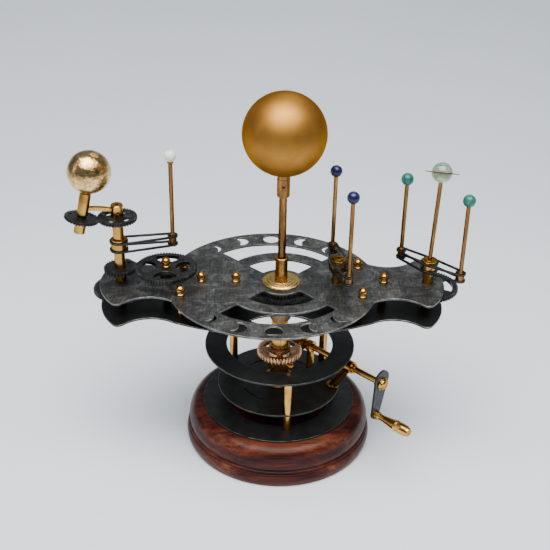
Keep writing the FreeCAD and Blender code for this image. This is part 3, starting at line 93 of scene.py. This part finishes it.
def backdrop(material):
    """A pale studio sweep: a flat floor that curves up into the wall behind."""
    half_width, front, back, height, bend = 4.0, -3.0, 1.6, 4.0, 1.2
    profile = [(front, 0.0), (0.0, 0.0), (back - bend, 0.0)]
    for step in range(1, 17):
        turn = math.pi / 2 * step / 16
        profile.append((back - bend + bend * math.sin(turn), bend - bend * math.cos(turn)))
    profile.append((back, height))
    mesh = bpy.data.meshes.new("sweep")
    verts = [(x, y, z) for y, z in profile for x in (-half_width, half_width)]
    faces = [(2 * i, 2 * i + 1, 2 * i + 3, 2 * i + 2) for i in range(len(profile) - 1)]
    mesh.from_pydata(verts, [], faces)
    mesh.shade_smooth()
    mesh_object("sweep", mesh, [material])


def area_light(name, place, target, size, power, spread=180.0):
    """A soft rectangular lamp at a place, facing a target, with its light kept within the spread."""
    data = bpy.data.lights.new(name, "AREA")
    data.shape = "RECTANGLE"
    data.size, data.size_y = size
    data.energy = power
    data.spread = math.radians(spread)
    obj = bpy.data.objects.new(name, data)
    way = Vector(target) - Vector(place)
    obj.matrix_world = Matrix.Translation(Vector(place)) @ way.to_track_quat("-Z", "Y").to_matrix().to_4x4()
    bpy.context.scene.collection.objects.link(obj)


def lights():
    """One broad light overhead and a little in front, two faint side lights, and a dim grey room."""
    area_light("overhead", (-0.05, -0.50, 1.60), (0.0, -0.22, 0.1), (2.1, 1.5), 30.5, 100.0)
    area_light("left_side", (-1.45, -0.25, 0.75), (0.0, 0.0, 0.15), (0.35, 1.2), 1.4)
    area_light("right_side", (1.45, -0.15, 0.75), (0.0, 0.0, 0.15), (0.35, 1.2), 1.0)
    area_light("behind", (0.35, 1.1, 1.5), (0.0, 0.0, 0.1), (0.9, 0.4), 2.0)
    world = bpy.data.worlds.new("room")
    world.use_nodes = True
    background = world.node_tree.nodes["Background"]
    background.inputs["Color"].default_value = (0.60, 0.65, 0.70, 1.0)
    background.inputs["Strength"].default_value = 0.20
    bpy.context.scene.world = world


# ==== node materials ==========================================================================
class Shader:
    """A Principled material whose colour, roughness and bump come from procedural textures."""

    def __init__(self, name, **sockets):
        self.material = bpy.data.materials.new(name)
        self.material.use_nodes = True
        self.tree = self.material.node_tree
        self.bsdf = self.tree.nodes["Principled BSDF"]
        self.place = self.tree.nodes.new("ShaderNodeTexCoord").outputs["Object"]
        self.normal = None
        for key, value in sockets.items():
            self.bsdf.inputs[key.replace("_", " ")].default_value = value

    def mapped(self, scale, turn=(0.0, 0.0, 0.0), shift=(0.0, 0.0, 0.0), kind="POINT"):
        """The object's coordinates in metres, turned, shifted and stretched."""
        node = self.tree.nodes.new("ShaderNodeMapping")
        node.vector_type = kind
        node.inputs["Location"].default_value = shift
        node.inputs["Rotation"].default_value = turn
        node.inputs["Scale"].default_value = scale
        self.tree.links.new(self.place, node.inputs["Vector"])
        return node.outputs["Vector"]

    def noise(self, scale, detail=4.0, roughness=0.55, distortion=0.0, where=None):
        """Fractal noise from 0 to 1."""
        node = self.tree.nodes.new("ShaderNodeTexNoise")
        node.inputs["Scale"].default_value = scale
        node.inputs["Detail"].default_value = detail
        node.inputs["Roughness"].default_value = roughness
        node.inputs["Distortion"].default_value = distortion
        self.tree.links.new(where or self.place, node.inputs["Vector"])
        return node.outputs["Fac"]

    def cells(self, scale, where=None, feature="F1"):
        """Distances in a pattern of random cells."""
        node = self.tree.nodes.new("ShaderNodeTexVoronoi")
        node.feature = feature
        node.inputs["Scale"].default_value = scale
        self.tree.links.new(where or self.place, node.inputs["Vector"])
        return node.outputs["Distance"]

    def ramp(self, value, stops):
        """A colour ramp; each stop is (position, (red, green, blue)) or (position, grey)."""
        node = self.tree.nodes.new("ShaderNodeValToRGB")
        elements = node.color_ramp.elements
        while len(elements) < len(stops):
            elements.new(0.5)
        for element, (position, colour) in zip(elements, stops):
            element.position = position
            rgb = colour if isinstance(colour, tuple) else (colour, colour, colour)
            element.color = (*rgb, 1.0)
        self.tree.links.new(value, node.inputs["Fac"])
        return node.outputs["Color"]

    def mix(self, factor, first, second, blend="MIX"):
        """Mix two colours, each an output or a plain colour."""
        node = self.tree.nodes.new("ShaderNodeMix")
        node.data_type = "RGBA"
        node.blend_type = blend
        for socket, value in zip((node.inputs[0], node.inputs[6], node.inputs[7]), (factor, first, second)):
            if isinstance(value, bpy.types.NodeSocket):
                self.tree.links.new(value, socket)
            elif isinstance(value, tuple):
                socket.default_value = (*value, 1.0)
            else:
                socket.default_value = value
        return node.outputs[2]

    def colour(self, value):
        """Use this output as the surface colour."""
        self.tree.links.new(value, self.bsdf.inputs["Base Color"])

    def rough(self, value, low, high):
        """Let a texture run the roughness between two values."""
        node = self.tree.nodes.new("ShaderNodeMapRange")
        node.inputs["To Min"].default_value = low
        node.inputs["To Max"].default_value = high
        self.tree.links.new(value, node.inputs["Value"])
        self.tree.links.new(node.outputs["Result"], self.bsdf.inputs["Roughness"])

    def bump(self, height, depth):
        """Add relief of this depth in millimetres; several calls add up."""
        node = self.tree.nodes.new("ShaderNodeBump")
        node.inputs["Distance"].default_value = depth * MM
        self.tree.links.new(height, node.inputs["Height"])
        if self.normal is not None:
            self.tree.links.new(self.normal, node.inputs["Normal"])
        self.normal = node.outputs["Normal"]
        self.tree.links.new(self.normal, self.bsdf.inputs["Normal"])


def brass(name, bright, dull, low, high, turn=(0.0, 0.0, 0.0)):
    """Polished brass: faint tarnish, fine turning marks across its axis and small scratches."""
    s = Shader(name, Metallic=1.0, Specular_Tint=(0.55, 0.42, 0.26, 1.0))
    clouds = s.noise(85.0, 6.0, 0.62)
    s.colour(s.ramp(clouds, [(0.32, dull), (0.60, bright)]))
    s.rough(s.noise(380.0, 6.0, 0.7), low, high)
    s.bump(s.noise(1.0, 2.0, 0.5, where=s.mapped((150.0, 150.0, 3600.0), turn)), 0.010)
    s.bump(s.noise(700.0, 5.0, 0.7), 0.006)
    return s.material


def rod_brass(name):
    """The planet rods: an older, browner brass with dark and light streaks along each rod."""
    s = Shader(name, Metallic=1.0, Specular_Tint=(0.45, 0.32, 0.2, 1.0))
    streaks = s.noise(1.0, 5.0, 0.65, where=s.mapped((420.0, 420.0, 60.0)))
    s.colour(s.ramp(streaks, [(0.34, (0.12, 0.052, 0.016)), (0.56, (0.24, 0.115, 0.036)),
                              (0.74, (0.42, 0.24, 0.085))]))
    s.rough(streaks, 0.16, 0.30)
    s.bump(s.noise(1.0, 3.0, 0.6, where=s.mapped((500.0, 500.0, 3000.0))), 0.010)
    s.bump(s.noise(700.0, 5.0, 0.7), 0.006)
    return s.material


def black_steel(name, dark, light, low, high, metallic=0.6):
    """Blackened steel: a soft mottle, fine brushing and a dull sheen."""
    s = Shader(name, Metallic=metallic)
    mottle = s.noise(85.0, 8.0, 0.70, 0.5)
    s.colour(s.ramp(mottle, [(0.32, dark), (0.68, light)]))
    s.rough(s.noise(300.0, 6.0, 0.7), low, high)
    s.bump(s.noise(1.0, 4.0, 0.6, where=s.mapped((300.0, 3600.0, 3600.0))), 0.010)
    s.bump(s.noise(1300.0, 4.0, 0.7), 0.010)
    return s.material


def gunmetal(name):
    """The cage plates: mottled grey steel with crossed brushing."""
    s = Shader(name, Metallic=0.85)
    mottle = s.noise(62.0, 10.0, 0.78, 0.9)
    along = s.noise(1.0, 6.0, 0.72, where=s.mapped((90.0, 760.0, 760.0)))
    across = s.noise(1.0, 5.0, 0.70, where=s.mapped((720.0, 100.0, 720.0)))
    base = s.ramp(mottle, [(0.33, (0.036, 0.036, 0.034)), (0.50, (0.108, 0.107, 0.101)),
                           (0.66, (0.290, 0.287, 0.270))])
    brushed = s.mix(0.5, s.ramp(along, [(0.36, 0.25), (0.62, 1.25)]),
                    s.ramp(across, [(0.37, 0.25), (0.62, 1.25)]))
    flecks = s.noise(420.0, 5.0, 0.75)
    base = s.mix(s.ramp(flecks, [(0.60, 0.0), (0.72, 0.6)]), base, (0.32, 0.315, 0.29))
    s.colour(s.mix(1.0, base, brushed, "MULTIPLY"))
    s.rough(along, 0.30, 0.52)
    s.bump(along, 0.024)
    s.bump(across, 0.018)
    s.bump(s.noise(800.0, 6.0, 0.75), 0.012)
    return s.material


def worn_and_highlit_edge(name, dull, bright):
    """The bare metal of an edge that has lost its finish, patchy along its length, and brighter than the
    surface partly as a painted highlight where the edge catches the light.
    """
    s = Shader(name, Metallic=1.0)
    patches = s.noise(170.0, 6.0, 0.7)
    s.colour(s.ramp(patches, [(0.36, dull), (0.62, bright)]))
    s.rough(patches, 0.50, 0.30)
    s.bump(s.noise(1500.0, 3.0, 0.6), 0.006)
    return s.material


def rosewood(name):
    """Rosewood under a clear polish: dark and light streaks, fine lines and pores along the grain."""
    s = Shader(name, Coat_Weight=0.12, Coat_Roughness=0.08, Coat_IOR=1.4, Specular_IOR_Level=0.10)
    lean = (0.0, 0.06, 0.12)
    figure = s.noise(1.0, 7.0, 0.56, 0.5, where=s.mapped((5.0, 60.0, 110.0), lean))
    lines = s.noise(1.0, 6.0, 0.62, 0.3, where=s.mapped((8.0, 330.0, 480.0), lean))
    pores = s.noise(1.0, 3.0, 0.6, where=s.mapped((70.0, 1500.0, 1500.0), lean))
    glow = s.noise(11.0, 3.0, 0.5, where=s.mapped((1.0, 1.0, 1.0), shift=(0.31, 0.12, 0.05)))
    base = s.ramp(figure, [(0.32, (0.015, 0.003, 0.003)), (0.46, (0.046, 0.009, 0.006)),
                           (0.58, (0.082, 0.018, 0.010)), (0.72, (0.150, 0.048, 0.022))])
    base = s.mix(0.8, base, s.ramp(lines, [(0.38, 0.40), (0.56, 1.1)]), "MULTIPLY")
    base = s.mix(1.0, base, s.ramp(pores, [(0.34, 0.50), (0.46, 1.0)]), "MULTIPLY")
    s.colour(s.mix(1.0, base, s.ramp(glow, [(0.35, 0.80), (0.65, 1.25)]), "MULTIPLY"))
    s.rough(figure, 0.38, 0.28)
    s.bump(pores, 0.02)
    return s.material


def satin_gold(name):
    """The sun: gold plate with a fine satin grain and faint cloudy wear."""
    s = Shader(name, Metallic=1.0, Specular_Tint=(0.42, 0.27, 0.15, 1.0))
    clouds = s.noise(32.0, 5.0, 0.6)
    s.colour(s.ramp(clouds, [(0.30, (0.35, 0.155, 0.030)), (0.62, (0.48, 0.235, 0.048))]))
    s.rough(s.noise(160.0, 6.0, 0.7), 0.44, 0.54)
    s.bump(s.noise(1.0, 3.0, 0.6, where=s.mapped((500.0, 500.0, 3000.0))), 0.012)
    s.bump(s.noise(1800.0, 4.0, 0.7), 0.010)
    return s.material


def gilt(name):
    """The globe: bright gold leaf, wrinkled and dulled in the creases."""
    s = Shader(name, Metallic=1.0)
    patches = s.noise(210.0, 7.0, 0.7, 1.0)
    s.colour(s.ramp(patches, [(0.34, (0.28, 0.14, 0.035)), (0.50, (0.70, 0.43, 0.15)),
                              (0.68, (1.0, 0.80, 0.46))]))
    s.rough(s.noise(420.0, 6.0, 0.7), 0.10, 0.32)
    s.bump(s.cells(260.0, feature="DISTANCE_TO_EDGE"), 0.11)
    s.bump(s.noise(480.0, 6.0, 0.7), 0.07)
    return s.material


def stone(name, dark, middle, light, scale, veins, **sockets):
    """A polished stone: two tones of mottle with fine lighter or darker veins."""
    s = Shader(name, Coat_Weight=0.35, Coat_Roughness=0.08, Specular_IOR_Level=0.3, **sockets)
    mottle = s.noise(scale, 8.0, 0.68, 1.2)
    fine = s.noise(scale * 4.0, 6.0, 0.7, 2.0)
    base = s.ramp(mottle, [(0.30, dark), (0.52, middle), (0.74, light)])
    s.colour(s.mix(s.ramp(fine, [(0.60, 0.0), (0.68, 0.7)]), base, veins))
    s.rough(mottle, 0.22, 0.36)
    s.bump(fine, 0.010)
    return s.material


def glass(name):
    """Clear pale green glass with faint swirls."""
    s = Shader(name, Transmission_Weight=0.72, IOR=1.45, Roughness=0.03, Coat_Weight=1.0, Coat_Roughness=0.04)
    swirls = s.noise(90.0, 4.0, 0.5, 2.0)
    s.colour(s.ramp(swirls, [(0.35, (0.38, 0.66, 0.56)), (0.65, (0.60, 0.84, 0.74))]))
    s.bump(swirls, 0.03)
    return s.material


def studio_paper(name):
    """The pale matt sweep."""
    s = Shader(name)
    s.colour(s.ramp(s.noise(3.0, 3.0, 0.5), [(0.3, (0.735, 0.785, 0.835)), (0.7, (0.765, 0.815, 0.865))]))
    s.rough(s.noise(60.0, 2.0, 0.5), 0.85, 0.95)
    return s.material


CRANK_TURN = (math.radians(90.0), 0.0, math.radians(45.0))
BRIGHT_BRASS, DULL_BRASS = (0.70, 0.40, 0.105), (0.38, 0.185, 0.038)
# The edge finishes are brighter than the surfaces beside them: partly bare worn metal, partly a painted
# highlight along the edges.
STEEL_EDGE = worn_and_highlit_edge("steel_edge", (0.10, 0.10, 0.095), (0.48, 0.47, 0.43))
BLACK_EDGE = worn_and_highlit_edge("black_edge", (0.030, 0.031, 0.031), (0.24, 0.24, 0.23))
FINISHES = {
    "rosewood": (rosewood("rosewood_polished"), None),
    "black_steel": (black_steel("steel_blackened", (0.011, 0.011, 0.011), (0.032, 0.033, 0.032), 0.30, 0.46),
                    BLACK_EDGE),
    "gear_steel": (black_steel("steel_gears", (0.014, 0.014, 0.013), (0.048, 0.047, 0.044), 0.28, 0.46, 0.8),
                   BLACK_EDGE),
    "blued_steel": (black_steel("steel_blued", (0.014, 0.014, 0.017), (0.050, 0.049, 0.057), 0.24, 0.38, 0.85),
                    BLACK_EDGE),
    "gunmetal": (gunmetal("steel_gunmetal"), STEEL_EDGE),
    "brass": (brass("brass_polished", BRIGHT_BRASS, DULL_BRASS, 0.12, 0.26), None),
    "pink_brass": (brass("brass_rosy", (0.66, 0.40, 0.24), (0.44, 0.24, 0.13), 0.14, 0.28), None),
    "gold_satin": (satin_gold("gold_satin"), None),
    "gilded": (gilt("gold_leaf"), None),
    "white_stone": (stone("stone_white", (0.82, 0.84, 0.72), (0.90, 0.91, 0.80), (0.96, 0.96, 0.88), 160.0,
                          (0.70, 0.70, 0.66), Subsurface_Weight=0.1, Subsurface_Scale=0.002), None),
    "lapis": (stone("stone_lapis", (0.002, 0.003, 0.024), (0.005, 0.007, 0.062), (0.016, 0.024, 0.16), 210.0,
                    (0.09, 0.11, 0.25)), None),
    "malachite": (stone("stone_malachite", (0.004, 0.055, 0.038), (0.014, 0.135, 0.098), (0.065, 0.29, 0.23),
                        190.0, (0.012, 0.09, 0.06)), None),
    "clear_green_glass": (glass("glass_green"), None),
}
CRANK_BRASS = brass("brass_crank", BRIGHT_BRASS, DULL_BRASS, 0.12, 0.26, CRANK_TURN)
HUB_BRASS = brass("brass_hub", (0.92, 0.64, 0.25), (0.66, 0.40, 0.13), 0.20, 0.34)
AGED_BRASS = brass("brass_aged", (0.58, 0.32, 0.085), (0.28, 0.130, 0.028), 0.14, 0.28)
ROD_BRASS = rod_brass("brass_rods")
LINK_STEEL = black_steel("steel_links", (0.008, 0.008, 0.008), (0.026, 0.026, 0.025), 0.28, 0.42)
NODE_FINISHES = {
    "worm_shaft": CRANK_BRASS, "crank_fittings": CRANK_BRASS, "crank_handle": CRANK_BRASS,
    "hub_disc": HUB_BRASS,
    "moon_tube": AGED_BRASS, "tilt_tube": AGED_BRASS, "globe_spindle": AGED_BRASS,
    "blue_arbor": AGED_BRASS, "green_arbor": AGED_BRASS, "mast_sleeve": AGED_BRASS,
    # The lower plate takes the darker blackened steel in place of its own finish: painted shade, for the shade
    # it lies in under the plates above.
    "lower_plate": FINISHES["black_steel"][0],
    "blue_rods": ROD_BRASS, "green_rods": ROD_BRASS, "moon_rod": ROD_BRASS,
    "mast_rod": ROD_BRASS, "mast_collar": ROD_BRASS,
    "blue_links": LINK_STEEL, "green_links": LINK_STEEL, "moon_links": LINK_STEEL,
}


# ==== the CAD nodes ===========================================================================
def joined_mesh_group():
    """A node group that joins a CAD mesh's loose faces and shades it smooth except at sharp edges."""
    group = bpy.data.node_groups.new("joined_mesh", "GeometryNodeTree")
    group.interface.new_socket("Geometry", in_out="INPUT", socket_type="NodeSocketGeometry")
    group.interface.new_socket("Geometry", in_out="OUTPUT", socket_type="NodeSocketGeometry")
    start = group.nodes.new("NodeGroupInput").outputs[0]
    bare = group.nodes.new("GeometryNodeRemoveAttribute")
    bare.inputs["Name"].default_value = "custom_normal"
    merged = group.nodes.new("GeometryNodeMergeByDistance")
    merged.inputs["Distance"].default_value = 2e-6
    smooth = group.nodes.new("GeometryNodeSetShadeSmooth")
    smooth.domain = "FACE"
    creased = group.nodes.new("GeometryNodeSetShadeSmooth")
    creased.domain = "EDGE"
    creased.inputs["Shade Smooth"].default_value = False
    angle = group.nodes.new("GeometryNodeInputMeshEdgeAngle").outputs["Unsigned Angle"]
    sharp = group.nodes.new("FunctionNodeCompare")
    sharp.operation = "GREATER_THAN"
    sharp.inputs["B"].default_value = math.radians(SHARP_ANGLE)
    group.links.new(angle, sharp.inputs["A"])
    group.links.new(start, bare.inputs["Geometry"])
    group.links.new(bare.outputs["Geometry"], merged.inputs["Geometry"])
    group.links.new(merged.outputs["Geometry"], smooth.inputs[0])
    group.links.new(smooth.outputs[0], creased.inputs[0])
    group.links.new(sharp.outputs["Result"], creased.inputs["Selection"])
    group.links.new(creased.outputs[0], group.nodes.new("NodeGroupOutput").inputs[0])
    return group


def finish_nodes():
    """Give each CAD node its finish, and a narrow bevel along its sharp edges."""
    joined = joined_mesh_group()
    slots = {name: obj.data.materials[0].name.split(".")[0] for name, obj in nodes.items()}
    for name, obj in nodes.items():
        slot = slots[name]
        surface, edge = FINISHES[slot]
        surface = NODE_FINISHES.get(name, surface)
        obj.data.materials.clear()
        obj.data.materials.append(surface)
        obj.data.materials.append(edge or surface)
        if name in SMOOTH_NODES or slot not in EDGE_WIDTHS:
            continue
        obj.modifiers.new("joined", "NODES").node_group = joined
        bevel = obj.modifiers.new("edges", "BEVEL")
        bevel.width = EDGE_WIDTHS[slot] * MM
        bevel.segments = 2
        bevel.limit_method = "ANGLE"
        bevel.angle_limit = math.radians(SHARP_ANGLE)
        bevel.use_clamp_overlap = False
        bevel.material = 1
        bevel.harden_normals = True


# ==== the crinkled globe ======================================================================
def globe():
    """The gilded globe: a ball of wrinkled leaf with raised seams where the sheets overlap."""
    low, high = (Vector(corner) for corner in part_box("globe_ball"))
    centre = (low + high) / 2
    radius = (high.z - low.z) / 2 - 0.12 * MM
    seams = [(Euler((math.radians(a), math.radians(b), 0)).to_matrix() @ Vector((0, 0, 1)), offset)
             for a, b, offset in ((4.0, 9.0, 0.05), (82.0, 25.0, -0.15), (70.0, -50.0, 0.3))]
    ball = bmesh.new()
    bmesh.ops.create_icosphere(ball, subdivisions=7, radius=1.0)
    for vert in ball.verts:
        way = vert.co.normalized()
        fold = noise.noise(way * 3.1) * 0.10 + abs(noise.noise(way * 7.3)) * 0.12
        fold += abs(noise.noise(way * 17.0 + Vector((3, 1, 2)))) * 0.05
        for pole, offset in seams:
            gap = abs(way.dot(pole) - offset + 0.02 * noise.noise(way * 5.0))
            fold -= 0.09 * math.exp(-(gap / 0.008) ** 2)
        vert.co = centre + way * (radius - 0.12 * MM + fold * MM)
    mesh = bpy.data.meshes.new("gilded_globe")
    ball.to_mesh(mesh)
    ball.free()
    mesh.shade_smooth()
    obj = mesh_object("gilded_globe", mesh, [FINISHES["gilded"][0]])
    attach(obj, "globe")
    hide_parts("globe_ball")


# ==== the lip under the sun ===================================================================
def collar_lip():
    """A brass lip on the mast's collar that meets the underside of the sun."""
    collar_low, collar_high = (Vector(corner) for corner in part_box("mast_collar"))
    rod_low, rod_high = (Vector(corner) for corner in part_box("mast_rod"))
    sun_low, sun_high = (Vector(corner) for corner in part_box("sun_ball"))
    outer = (collar_high.x - collar_low.x) / 2 * LIP_INSET
    bore = (rod_high.x - rod_low.x) / 2 * LIP_FIT
    top = sun_low.z + outer ** 2 / (sun_high.z - sun_low.z)
    profile = ((bore, collar_high.z), (outer, collar_high.z), (outer, top), (bore, top))
    corners = len(profile)
    turns = [2 * math.pi * i / LIP_SIDES for i in range(LIP_SIDES)]
    verts = [(radius * math.cos(turn), radius * math.sin(turn), height)
             for turn in turns for radius, height in profile]
    faces = []
    for i in range(LIP_SIDES):
        here = corners * i
        there = corners * ((i + 1) % LIP_SIDES)
        for j in range(corners):
            step = (j + 1) % corners
            faces.append((here + j, there + j, there + step, here + step))
    mesh = bpy.data.meshes.new("collar_lip")
    mesh.from_pydata(verts, [], faces)
    obj = mesh_object("collar_lip", mesh, [ROD_BRASS])
    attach(obj, "stand")


# ==== put it together =========================================================================
camera()
lights()
backdrop(studio_paper("studio_paper"))
finish_nodes()
globe()
collar_lip()
